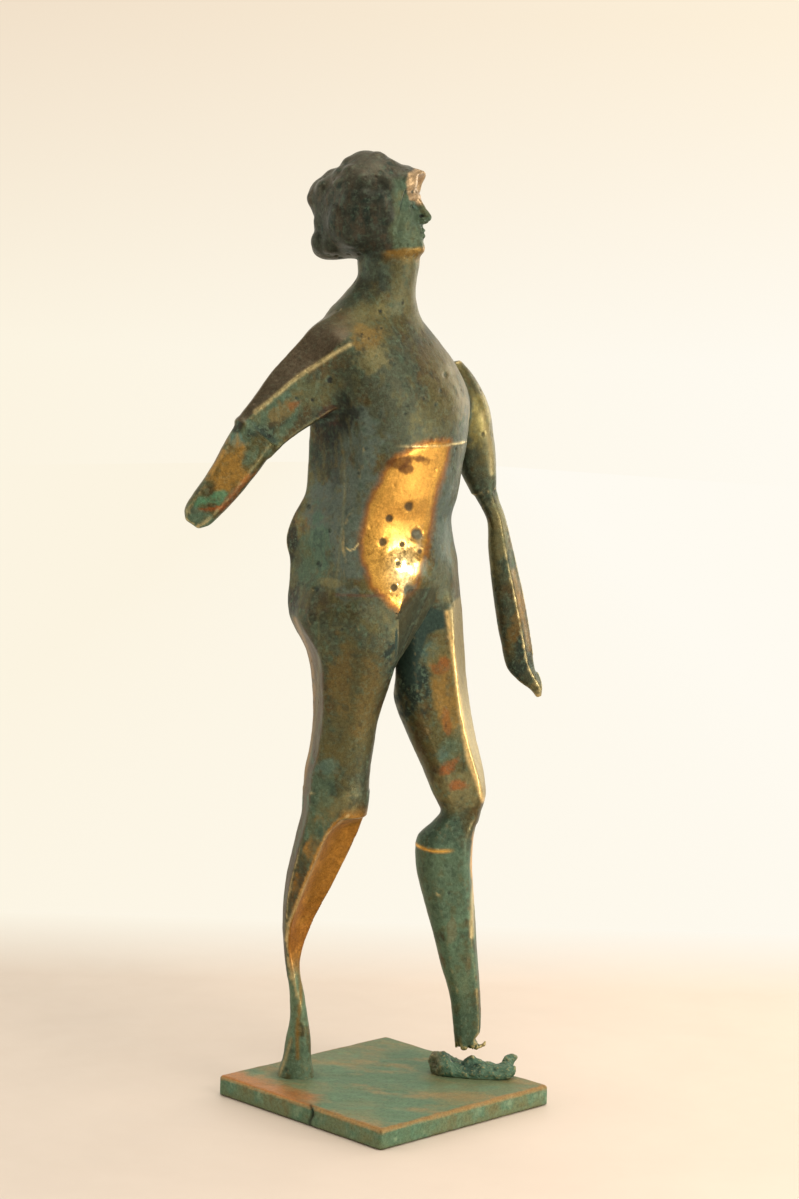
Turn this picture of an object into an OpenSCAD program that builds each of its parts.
// Bronze statuette of a striding figure on a square plate.
// The figure is cast in sections. Thick sections are hollow and plug into each other;
// thin ones are solid and meet on dowels. Millimetres, +Z up, origin under the plate's middle.

/* [Base plate] */
// Length of each side of the square plate
plate_side = 85; // [84:1:95]
// Thickness of the plate
plate_t = 7.5; // [6.5:0.5:9]
// Chamfer on the plate's edges
plate_chamfer = 1; // [0.5:0.25:2]

/* [Castings] */
// Wall of the hollow castings
wall = 3; // [2.5:0.25:3.5]
// Gap around a plug in its mouth
plug_gap = 0.15; // [0.1:0.05:0.3]
// How far a plug enters its mouth
plug_length = 7; // [5:0.5:8]
// Points around each section
ring_points = 32; // [24:4:40]

/* [Pins and stud] */
// Diameter of the dowels at the head, hips and right shoulder
dowel_d = 5; // [4:0.5:5.5]
// Diameter of the dowels at the elbows and the left shoulder
arm_dowel_d = 3; // [2.5:0.25:3.5]
// Diameter of the cross pins through a mouth and its plug
cross_pin_d = 2.5; // [2:0.25:3]
// Diameter of the stud that holds the right foot
stud_d = 4; // [3:0.5:4.5]
// Diameter of the counterbore for the nut, under the plate
counterbore_d = 12; // [11.5:0.5:14]

/* [Hidden] */

$fn = 48;
squareness = 2.2;    // exponent of the superellipse that every section starts from
seat_height = 255;   // height at which the distance of an arm's seat is given
least_flat = 0.2;    // the nearest that a cut may come to the middle of a section
far_away = 1000;     // where a cut stands that a direction never meets
figure_turn = -45;   // the figure strides along the plate's diagonal
seam_waist = 238;
seam_hip = 188;
seam_right_knee = 112;
seam_left_knee = 107;
calf_end = 18;
neck_top = 301;

bronze = "#6d6a45";
dark_bronze = "#57533a";
steel = "silver";

/*
A loft is [origin, axis, side, cut angles, planes, rows].
A row is [distance along the axis, centre u, centre v, half-width, half-depth, turn,
one distance from the centre for each cut angle]. A cut flattens the section on that side.
A plane is [angle, distance at seat_height, change of that distance with height]; it flattens
every section at one place, as a seat for an arm or for the plate.
*/
upright = [[0, 0, 0], [0, 0, 1], [1, 0, 0]];

right_seat = [225, 27.5, 0];
left_seat = [45, 28.5, -0.25];

torso_rows = [
    [180, -8.5, 5, 32, 23, 28, 26.5],
    [190, -8.5, 5, 31.5, 23, 32, 26.5],
    [197, -9, 5, 31.8, 23, 35, 26],
    [204, -10.4, 5, 32, 23, 37, 26],
    [212, -9.8, 5, 30.4, 22.5, 40, 25.4],
    [220, -7, 5.5, 28.5, 23.5, 43, 24.5],
    [230, -5.8, 6, 29, 24, 45, 25],
    [240, -5, 6, 30, 24.5, 46, 26],
    [255, -4.6, 6, 31, 23.5, 47, 29],
    [266, -6.5, 5.5, 29, 20, 47, 29],
    [275, -10.5, 4.5, 27, 16, 46, 27],
    [283, -11.5, 4, 19, 12, 38, 20],
    [290, -10, 4, 13.4, 11, 20, 14],
    [297, -7.2, 4, 10.6, 10, 0, 11],
    [303, -6.8, 4, 11, 10.4, 0, 11.5]
];
torso = concat(upright, [[225], [], torso_rows]);
chest_loft = concat(upright, [[225], [right_seat, left_seat], torso_rows]);

right_thigh_loft = concat(upright, [[197, 262, 0], [], [
    [105, -20.4, -2, 11.4, 10, 0, 10, 9, 12],
    [112, -20.3, -2, 12, 11, 0, 10.6, 10, 12],
    [120, -20, -2, 12, 11, 0, 10.6, 10.5, 12],
    [130, -18.8, -2.5, 11.8, 12, 0, 10.2, 11.5, 12],
    [140, -17.6, -3, 12, 13, 0, 10.4, 12.5, 12],
    [152, -16.2, -3.5, 14, 15, 0, 12.4, 14, 14],
    [164, -15.2, -4, 17.6, 17, 10, 15.2, 16, 15.5],
    [176, -15, -3, 23.5, 19, 20, 22.5, 19, 16],
    [188, -14, 1, 26.5, 20, 28, 26, 21, 15.4]
]]);

left_thigh_loft = concat(upright, [[283, 345, 180], [], [
    [105, 25.2, 12, 7.2, 7, 0, 6, 7.2, 7.2],
    [108.5, 24.8, 12, 8.8, 8.2, 0, 7, 8.7, 8.6],
    [112, 24.2, 12, 10, 9.5, 0, 8, 9.9, 10],
    [120, 22.1, 12, 11, 10.5, 0, 9, 10.2, 12],
    [132, 17.6, 12, 12.6, 11.5, 0, 10, 11, 13],
    [145, 13.6, 12, 14, 13, 0, 11, 12.1, 14],
    [155, 12, 12, 14, 14, 0, 12, 12.4, 10.5],
    [165, 11.2, 12, 13.6, 15, 0, 13, 12.4, 9],
    [178, 10.4, 12, 13.4, 16, 0, 14, 12.4, 9],
    [188, 9.6, 12, 13.6, 15, 0, 14, 12.8, 8]
]]);

left_calf_loft = concat(upright, [[278, 350], [], [
    [17, 30, 12, 4.2, 4, 0, 3.6, 4.2],
    [25, 30, 12, 5.1, 4.6, 0, 4, 4.9],
    [36, 29, 12, 5.8, 5.5, 0, 4.8, 5.4],
    [47, 26.8, 12, 6.8, 6.5, 0, 5.6, 6.4],
    [58, 24.8, 12, 7.9, 7.5, 0, 6.6, 7.4],
    [70, 22.4, 12, 9.3, 8.5, 0, 7.5, 8.6],
    [82, 20.2, 12, 10.3, 9.5, 0, 8.4, 9.6],
    [91, 19.7, 12, 10.6, 9.8, 0, 8.8, 10],
    [96, 20.2, 12, 10.2, 9, 0, 8, 9.9],
    [100, 22.6, 12, 8.4, 8, 0, 7, 8.2],
    [104, 24.8, 12, 7.4, 7, 0, 6, 7],
    [107, 25.2, 12, 7.2, 7, 0, 6, 7]
]]);

right_shin_loft = concat(upright, [[195, 262, 318], [], [
    [7, -32.2, 3, 7, 6.5, 0, 8, 8, 8],
    [10, -32.1, 3, 6.2, 5.8, 0, 7, 7, 7],
    [14, -31.9, 3, 5.2, 5, 0, 6, 6, 6],
    [21, -31.6, 3, 4.5, 4.2, 0, 5, 5, 5],
    [29, -31.6, 3, 3.4, 3.6, 0, 4, 4, 4],
    [38, -32.6, 3, 2.8, 3.4, 0, 3.2, 3.6, 2.8],
    [47, -34.2, 3, 2.4, 3.6, 0, 2.8, 3.6, 2.4],
    [54, -34.2, 3, 3.4, 4.2, 0, 3.3, 4, 1.7],
    [62, -32.8, 2, 5.6, 5.5, 0, 5.2, 4.8, 2.4],
    [73, -30.4, 1, 8, 7.5, 0, 7.3, 6, 3.4],
    [82, -27.8, 0, 9.8, 8.5, 0, 8.8, 7, 4.2],
    [91, -24.9, -1, 10.8, 9.5, 0, 9.9, 8, 5.2],
    [99, -22.8, -1.5, 11.2, 10, 0, 10.2, 9, 7],
    [107, -20.9, -2, 11.4, 10.4, 0, 10.4, 9.5, 10],
    [112, -20.3, -2, 12, 11, 0, 10.6, 10, 12]
]]);

right_shoulder = [-22, -10, 270];
right_elbow = [-51.5, -22, 239.5];
right_stub = [-69.5, -28, 212];
left_shoulder = [18, 26, 266];
left_elbow = [30, 30, 222];
left_hand = [52, 34, 146];

right_upper_arm_loft = [right_shoulder, right_elbow - right_shoulder, [0, -1, 0], [35, -14], [], [
    [-18, 0, 0, 14, 13, 0, 8.5, 8.2],
    [0, 0, 0, 14, 13, 0, 8.5, 8.2],
    [12, 0, 0, 14, 13, 0, 8.6, 6.9],
    [22, 0, 0.6, 13, 11.8, 0, 8.3, 5.7],
    [32, 0, 0.8, 11, 10, 0, 7.8, 4.6],
    [44, 0, 0.3, 8, 8.4, 0, 7.1, 3.2]
]];
right_forearm_loft = [right_elbow, right_stub - right_elbow, [0, -1, 0], [0], [], [
    [0, 0, 0, 6.6, 8.1, 0, 5],
    [10, 0, -0.4, 6.2, 7.4, 0, 4.8],
    [20, 0, -0.4, 5.6, 6.6, 0, 4.4],
    [28, 0, 0.2, 5.2, 6, 0, 4],
    [33.5, 0, 0.6, 4.4, 5, 0, 3.4],
    [36.5, 0, 0.6, 2.4, 2.8, 0, 2]
]];
left_upper_arm_loft = [left_shoulder, left_elbow - left_shoulder, [0, -1, 0], [], [], [
    [-5, 0, 0, 3, 3, 0],
    [0, 0, 0.5, 6, 5.8, 0],
    [8, 0, 0.6, 8.6, 8, 0],
    [17, 0, 0, 9, 8.8, 0],
    [26, 0, 0, 8, 8.2, 0],
    [36, 0, 0, 6.2, 7, 0],
    [46, 0, 0, 4.4, 4.7, 0]
]];
left_forearm_loft = [left_elbow, left_hand - left_elbow, [0, -1, 0], [300], [], [
    [0, 0, 0, 4.4, 4.7, 0, 4],
    [6, 0, -1, 4.2, 3.8, 0, 3.6],
    [12, 0, -1.8, 4, 3.6, 0, 3.2],
    [23, 0, -0.8, 4.2, 4.6, 0, 3.4],
    [34, 0, 0, 4.2, 5.5, 0, 3.6],
    [46, 0, 0.7, 4, 6.2, 0, 3.6],
    [58, 0, 1.5, 3.6, 6.4, 0, 3.4],
    [67, 0, 1.8, 3, 6, 0, 3],
    [73, 0, 0.4, 2.6, 4.4, 0, 2.6],
    [77, 0, -0.8, 2, 2.4, 0, 2.2],
    [80.5, 0, -1, 1, 1, 0, 1.2]
]];
foot_fragment_loft = [[17, 12, plate_t], [1, 0, 0], [0, 1, 0], [], [[270, 0, 0]], [
    [0, 0, 2.2, 2.4, 2, 0],
    [3, 0, 2.6, 5.6, 4.2, 0],
    [6, 0, 2.4, 6.8, 4.2, 0],
    [10, -0.3, 1.2, 7, 2.8, 0],
    [15, -0.8, 1, 7.4, 2.6, 0],
    [20, -1.6, 1.2, 7, 3, 0],
    [25, -2.6, 1.4, 6, 2.8, 0],
    [28, -3.4, 2.2, 4.6, 3, 0],
    [31, -4, 2.6, 2, 1.6, 0]
]];

// Head: half-sizes of the skull with its hair, and where its middle is
head_centre = [-12.5, 3.5, 320.5];
head_half = [18, 15.2, 17.8];
face_turn = -15;
head_bottom = -80;   // elevation of the lowest ring of the head
head_rise = 168;     // elevation from the lowest ring to the highest
head_wall = 5;
head_cavity_sections = 8;
// Lumps on the head: [azimuth from the face, elevation, spread in degrees, height]
hair_lumps = [
    [180, 66, 17, 2.8], [180, 26, 18, 6], [180, -12, 15, 5], [180, -40, 16, 7], [30, 84, 18, 2.6],
    [4, 30, 19, 4],
    [35, 50, 16, 2.6], [80, 58, 16, 2.8], [125, 40, 18, 4], [95, 18, 14, 2.2], [130, 2, 15, 3],
    [100, -20, 14, 2.6], [140, -34, 16, 4],
    [-35, 50, 16, 2.6], [-80, 58, 16, 2.8], [-125, 40, 18, 4], [-95, 18, 14, 2.2], [-130, 2, 15, 3],
    [-100, -20, 14, 2.6], [-140, -34, 16, 4]
];
face_lumps = [
    [0, 13, 16, 1], [-23, 4, 9, -1.8], [23, 4, 9, -1.8], [0, -6, 7, 2.2], [0, -12, 6, 2.8],
    [0, -24, 11, 1.6], [0, -42, 13, 4], [-42, -18, 16, 0.8], [42, -18, 16, 0.8]
];

function unit(v) = v / norm(v);
function side_axis(loft) = let (w = unit(loft[1])) unit(loft[2] - (loft[2] * w) * w);
function compass(angle) = [cos(angle), sin(angle)];

function slope(rows, i, k) = (rows[k] - rows[i]) / (rows[k][0] - rows[i][0]);
function tangent(rows, i) = slope(rows, max(i - 1, 0), min(i + 1, len(rows) - 1));
function interval(rows, t, i = 0) = (i > len(rows) - 3 || t < rows[i + 1][0]) ? i : interval(rows, t, i + 1);
function blend(p, q, dp, dq, s) =
    p * (2 * s * s * s - 3 * s * s + 1) + dp * (s * s * s - 2 * s * s + s)
    + q * (3 * s * s - 2 * s * s * s) + dq * (s * s * s - s * s);
// The smooth row of a loft at any distance t along it
function row_at(rows, t) =
    let (i = interval(rows, t), h = rows[i + 1][0] - rows[i][0], s = (t - rows[i][0]) / h)
    blend(rows[i], rows[i + 1], h * tangent(rows, i), h * tangent(rows, i + 1), s);

function curved(row, angle, inset) =
    pow(pow(abs(cos(angle - row[5])) / (row[3] - inset), squareness)
        + pow(abs(sin(angle - row[5])) / (row[4] - inset), squareness), -1 / squareness);
function flat(distance, turn) = cos(turn) > 0.02 ? max(distance, least_flat) / cos(turn) : far_away;
function reach(loft, row, angle, inset) = min(concat(
    [curved(row, angle, inset)],
    [for (i = [0:1:len(loft[3]) - 1]) flat(row[6 + i] - inset, angle - loft[3][i])],
    [for (plane = loft[4])
        flat(plane[1] + plane[2] * (row[0] - seat_height) - [row[1], row[2]] * compass(plane[0]) - inset,
             angle - plane[0])]
));
// One closed section of a loft, drawn inset from the skin
function ring(loft, t, inset = 0) =
    let (w = unit(loft[1]), u = side_axis(loft), v = cross(w, u), row = row_at(loft[5], t))
    [for (k = [0:ring_points - 1])
        let (angle = 360 * k / ring_points, r = reach(loft, row, angle, inset))
        loft[0] + t * w + (row[1] + r * cos(angle)) * u + (row[2] + r * sin(angle)) * v];
function rings(loft, from, to, count, inset = 0) =
    [for (i = [0:count]) ring(loft, from + (to - from) * i / count, inset)];

// A plane in space is [normal, distance]. Points short of it slide along the axis onto it.
function slid(points, axis, plane, extra) =
    [for (p = points) p + axis * max(0, (plane[1] - p * plane[0]) / (axis * plane[0]) + extra)];
function slid_rings(all, axis, plane) =
    [for (k = [0:len(all) - 1]) slid(all[k], axis, plane, 0.3 * k)];
// Points behind a plane are drawn in towards the section's centre until they lie on it.
function middle(points, i = 0) = i == len(points) - 1 ? points[i] : points[i] + middle(points, i + 1);
function drawn_in(points, plane) =
    let (c = middle(points) / len(points), room = c * plane[0] - plane[1])
    [for (p = points)
        let (depth = (c - p) * plane[0])
        depth > room ? c + (p - c) * (room / depth) : p];

// A closed skin over a run of rings, which may turn back inside itself as a cavity
module skin(all) {
    n = ring_points;
    last = len(all) - 1;
    points = concat(
        [for (r = all) for (p = r) p],
        [middle(all[0]) / n, middle(all[last]) / n]
    );
    sides = [for (k = [0:last - 1]) for (j = [0:n - 1]) let (a = k * n + j, b = k * n + (j + 1) % n)
        each [[a, a + n, b + n], [a, b + n, b]]];
    caps = [for (j = [0:n - 1]) let (i = (j + 1) % n)
        each [[j, i, n * (last + 1)], [last * n + i, last * n + j, n * (last + 1) + 1]]];
    polyhedron(points, concat(sides, caps));
}

module pin(from, to, d) {
    run = to - from;
    translate(from)
        rotate([0, acos(run[2] / norm(run)), atan2(run[1], run[0])])
            cylinder(d = d, h = norm(run));
}

module place_figure() rotate([0, 0, figure_turn]) children();

// Sections drawn along each loft
fragment_sections = 16;
shin_sections = 26;
calf_sections = 22;
thigh_sections = 15;
abdomen_sections = 12;
chest_sections = 20;
upper_arm_sections = 14;
right_forearm_sections = 12;
left_forearm_sections = 20;
head_sections = 26;
thigh_cavity_sections = 9;
trunk_cavity_sections = 8;

// Base plate, stud and the fragment's pins
foot_at = [-32, 3, 0];
stud_top = 18;
washer_t = 0.8;
nut_h = 3.2;
nut_across = 7;
counterbore_h = 5;
fragment_length = 31;
fragment_pins_at = [[23, 12, 0], [39, 10.5, 0]];
fragment_pin_bottom = 2.5;
fragment_pin_top = 9.5;

module base_plate() color(dark_bronze) difference() {
    translate([0, 0, plate_t / 2]) hull() for (side = [0:2])
        cube([for (i = [0:2]) (i == 2 ? plate_t : plate_side) - (i == side ? 0 : 2 * plate_chamfer)],
             center = true);
    place_figure() {
        translate(foot_at) translate([0, 0, -1]) cylinder(d = counterbore_d, h = counterbore_h + 1);
        translate(foot_at) cylinder(d = stud_d, h = plate_t + 1);
        for (at = fragment_pins_at)
            translate(at + [0, 0, fragment_pin_bottom]) cylinder(d = cross_pin_d, h = plate_t);
    }
}
module foot_stud() color(steel) place_figure()
    translate(foot_at + [0, 0, 1]) cylinder(d = stud_d, h = stud_top - 1);
module stud_washer() color(steel) place_figure()
    translate(foot_at + [0, 0, counterbore_h - washer_t]) difference() {
        cylinder(d = counterbore_d - 2, h = washer_t);
        translate([0, 0, -1]) cylinder(d = stud_d, h = washer_t + 2);
    }
module stud_nut() color(steel) place_figure()
    translate(foot_at + [0, 0, counterbore_h - washer_t - nut_h]) difference() {
        cylinder(d = nut_across / cos(30), h = nut_h, $fn = 6);
        translate([0, 0, -1]) cylinder(d = stud_d, h = nut_h + 2);
    }
module foot_fragment() color(bronze) place_figure() difference() {
    skin(rings(foot_fragment_loft, 0, fragment_length, fragment_sections));
    for (at = fragment_pins_at)
        translate(at) cylinder(d = cross_pin_d, h = fragment_pin_top);
}
module fragment_pins() color(bronze) place_figure() for (at = fragment_pins_at)
    translate(at + [0, 0, fragment_pin_bottom])
        cylinder(d = cross_pin_d, h = fragment_pin_top - fragment_pin_bottom);

// Legs
function cross_pin(loft, t, inset) = let (row = row_at(loft[5], t))
    [row[1], row[2] - row[4] + inset, t];
pin_cover = 2.6;       // metal left over the end of a knee pin
pin_past_middle = 4;   // how far a knee pin runs past the middle of the limb
hip_solid = 12;        // solid metal at the top of each thigh, for the dowel
module knee_pin(loft, t, grow = 0)
    pin(cross_pin(loft, t, pin_cover - grow),
        cross_pin(loft, t, row_at(loft[5], t)[4] + pin_past_middle + grow), cross_pin_d);

right_pin_height = seam_right_knee + plug_length / 2;
left_pin_height = seam_left_knee + plug_length / 2;

module right_lower_leg() color(bronze) place_figure() difference() {
    skin(concat(
        rings(right_shin_loft, plate_t, seam_right_knee, shin_sections),
        rings(right_thigh_loft, seam_right_knee, seam_right_knee + plug_length, 1, wall + plug_gap)
    ));
    translate(foot_at) cylinder(d = stud_d, h = stud_top);
    knee_pin(right_thigh_loft, right_pin_height, 3);
}
module right_knee_pin() color(bronze) place_figure() knee_pin(right_thigh_loft, right_pin_height);

right_hip = [-14, 2, seam_hip];
left_hip = [12, 12, seam_hip];
hip_dowel_half = 8;
module hip_dowel(at) pin(at - [0, 0, hip_dowel_half], at + [0, 0, hip_dowel_half], dowel_d);

module right_thigh() color(bronze) place_figure() difference() {
    skin(concat(
        rings(right_thigh_loft, seam_hip - hip_solid, seam_right_knee, thigh_cavity_sections, wall),
        rings(right_thigh_loft, seam_right_knee, seam_hip, thigh_sections)
    ));
    knee_pin(right_thigh_loft, right_pin_height, 3);
    hip_dowel(right_hip);
}
module right_hip_dowel() color(steel) place_figure() hip_dowel(right_hip);

module left_calf() color(bronze) place_figure() difference() {
    skin(concat(
        rings(left_calf_loft, calf_end, seam_left_knee, calf_sections),
        rings(left_thigh_loft, seam_left_knee, seam_left_knee + plug_length, 1, wall + plug_gap)
    ));
    knee_pin(left_thigh_loft, left_pin_height, 3);
}
module left_knee_pin() color(bronze) place_figure() knee_pin(left_thigh_loft, left_pin_height);

module left_thigh() color(bronze) place_figure() difference() {
    skin(concat(
        rings(left_thigh_loft, seam_hip - hip_solid, seam_left_knee, thigh_cavity_sections, wall),
        rings(left_thigh_loft, seam_left_knee, seam_hip, thigh_sections)
    ));
    knee_pin(left_thigh_loft, left_pin_height, 3);
    hip_dowel(left_hip);
}
module left_hip_dowel() color(steel) place_figure() hip_dowel(left_hip);

// Trunk
waist_pin_height = seam_waist - plug_length / 2;
plug_wall = 2.5;
waist_pin_reach = wall + plug_gap + plug_wall - 0.5;
waist_pin_cover = 1.2;
chest_cavity_top = 280;
module waist_pins_at(grow = 0) {
    row = row_at(torso_rows, waist_pin_height);
    for (side = [-90, 90]) {
        out = [cos(row[5] + side), sin(row[5] + side), 0];
        middle_at = [row[1], row[2], waist_pin_height];
        pin(middle_at + out * (row[4] - waist_pin_reach - grow), middle_at + out * (row[4] - waist_pin_cover + grow),
            cross_pin_d);
    }
}
module abdomen() color(bronze) place_figure() difference() {
    skin(concat(
        rings(torso, seam_hip, seam_waist, abdomen_sections),
        rings(torso, seam_waist, seam_hip + wall + 1, trunk_cavity_sections, wall)
    ));
    waist_pins_at(2);
    hip_dowel(right_hip);
    hip_dowel(left_hip);
}
module waist_pins() color(bronze) place_figure() waist_pins_at();

neck_axis = [-8, 4, 0];
neck_pin_bottom = neck_top - 14;
neck_pin_top = neck_top + 9;
module neck_pin() pin(neck_axis + [0, 0, neck_pin_bottom], neck_axis + [0, 0, neck_pin_top], dowel_d);
module neck_dowel() color(steel) place_figure() neck_pin();

right_seat_normal = [cos(right_seat[0]), sin(right_seat[0]), -right_seat[2]];
left_seat_normal = [cos(left_seat[0]), sin(left_seat[0]), -left_seat[2]];
right_seat_plane = [right_seat_normal, right_seat[1] - seat_height * right_seat[2]];
left_seat_plane = [left_seat_normal, left_seat[1] - seat_height * left_seat[2]];
right_arm_axis = unit(right_elbow - right_shoulder);
right_shoulder_pin_span = [3, 27];   // along the arm, from right_shoulder
module right_shoulder_pin() pin(right_shoulder + right_shoulder_pin_span[0] * right_arm_axis,
                                right_shoulder + right_shoulder_pin_span[1] * right_arm_axis, dowel_d);
left_dowel_at = [16.2, 25, 257];
left_dowel_half = 8;
module left_shoulder_pin() pin(left_dowel_at - left_dowel_half * unit(left_seat_normal),
                               left_dowel_at + left_dowel_half * unit(left_seat_normal), arm_dowel_d);
module right_shoulder_dowel() color(steel) place_figure() right_shoulder_pin();
module left_shoulder_dowel() color(steel) place_figure() left_shoulder_pin();

module chest() color(bronze) place_figure() difference() {
    skin(concat(
        rings(chest_loft, chest_cavity_top, seam_waist, trunk_cavity_sections, wall + plug_gap + plug_wall),
        [ring(torso, seam_waist - plug_length, wall + plug_gap + plug_wall)],
        rings(torso, seam_waist - plug_length, seam_waist, 1, wall + plug_gap),
        rings(chest_loft, seam_waist, neck_top, chest_sections)
    ));
    waist_pins_at(2);
    neck_pin();
    right_shoulder_pin();
    left_shoulder_pin();
}

// Head: a lumpy ball, flat where it sits on the neck
function head_direction(azimuth, elevation) =
    [cos(elevation) * cos(azimuth), cos(elevation) * sin(azimuth), sin(elevation)];
function lump(d, l) = l[3] * exp(-pow(acos(min(1, d * head_direction(l[0], l[1]))) / l[2], 2));
function total(values, i = 0) = i == len(values) ? 0 : values[i] + total(values, i + 1);
function head_point(azimuth, elevation, inset) =
    let (
        d = head_direction(azimuth, elevation),
        ball = 1 / norm([for (i = [0:2]) d[i] / head_half[i]]),
        lumpy = ball + (inset > 0 ? 0 : total([for (l = concat(hair_lumps, face_lumps)) lump(d, l)])),
        floor_at = neck_top + inset - head_centre[2],
        r = min(lumpy - inset, d[2] < 0 ? floor_at / d[2] : far_away)
    ) r * d;
function head_rings(steps, inset = 0) = [for (i = [0:steps])
    [for (k = [0:ring_points - 1])
        head_point(360 * k / ring_points, head_bottom + head_rise * i / steps, inset)]];
module head() color(dark_bronze) place_figure() difference() {
    translate(head_centre) rotate([0, 0, face_turn]) skin(head_rings(head_sections));
    translate(head_centre) rotate([0, 0, face_turn]) skin(head_rings(head_cavity_sections, head_wall));
    neck_pin();
}

// Arms
right_arm_start = -16;   // inside the chest, along the arm
left_arm_start = -5;
right_forearm_length = 36.5;
left_forearm_length = 80.5;
elbow_dowel_half = 7;
module elbow_pin(at, axis, d) pin(at - elbow_dowel_half * unit(axis), at + elbow_dowel_half * unit(axis), d);
module right_elbow_pin() elbow_pin(right_elbow, right_stub - right_elbow, arm_dowel_d);
module left_elbow_pin() elbow_pin(left_elbow, left_hand - left_elbow, arm_dowel_d);
module right_elbow_dowel() color(steel) place_figure() right_elbow_pin();
module left_elbow_dowel() color(steel) place_figure() left_elbow_pin();

module right_upper_arm() color(bronze) place_figure() difference() {
    skin(slid_rings(rings(right_upper_arm_loft, right_arm_start, norm(right_elbow - right_shoulder),
                          upper_arm_sections),
                    right_arm_axis, right_seat_plane));
    right_shoulder_pin();
    right_elbow_pin();
}
module right_forearm() color(bronze) place_figure() difference() {
    skin(slid_rings(rings(right_forearm_loft, 0, right_forearm_length, right_forearm_sections), unit(right_stub - right_elbow),
                    [right_arm_axis, right_elbow * right_arm_axis]));
    right_elbow_pin();
}
module left_upper_arm() color(bronze) place_figure() difference() {
    skin([for (r = rings(left_upper_arm_loft, left_arm_start, norm(left_elbow - left_shoulder), upper_arm_sections))
        drawn_in(r, left_seat_plane)]);
    left_shoulder_pin();
    left_elbow_pin();
}
module left_forearm() color(bronze) place_figure() difference() {
    skin(slid_rings(rings(left_forearm_loft, 0, left_forearm_length, left_forearm_sections), unit(left_hand - left_elbow),
                    [unit(left_elbow - left_shoulder), left_elbow * unit(left_elbow - left_shoulder)]));
    left_elbow_pin();
}

base_plate();
foot_stud();
stud_washer();
stud_nut();
foot_fragment();
fragment_pins();
right_lower_leg();
right_knee_pin();
right_thigh();
right_hip_dowel();
left_calf();
left_knee_pin();
left_thigh();
left_hip_dowel();
abdomen();
waist_pins();
chest();
neck_dowel();
head();
right_shoulder_dowel();
right_upper_arm();
right_elbow_dowel();
right_forearm();
left_shoulder_dowel();
left_upper_arm();
left_elbow_dowel();
left_forearm();
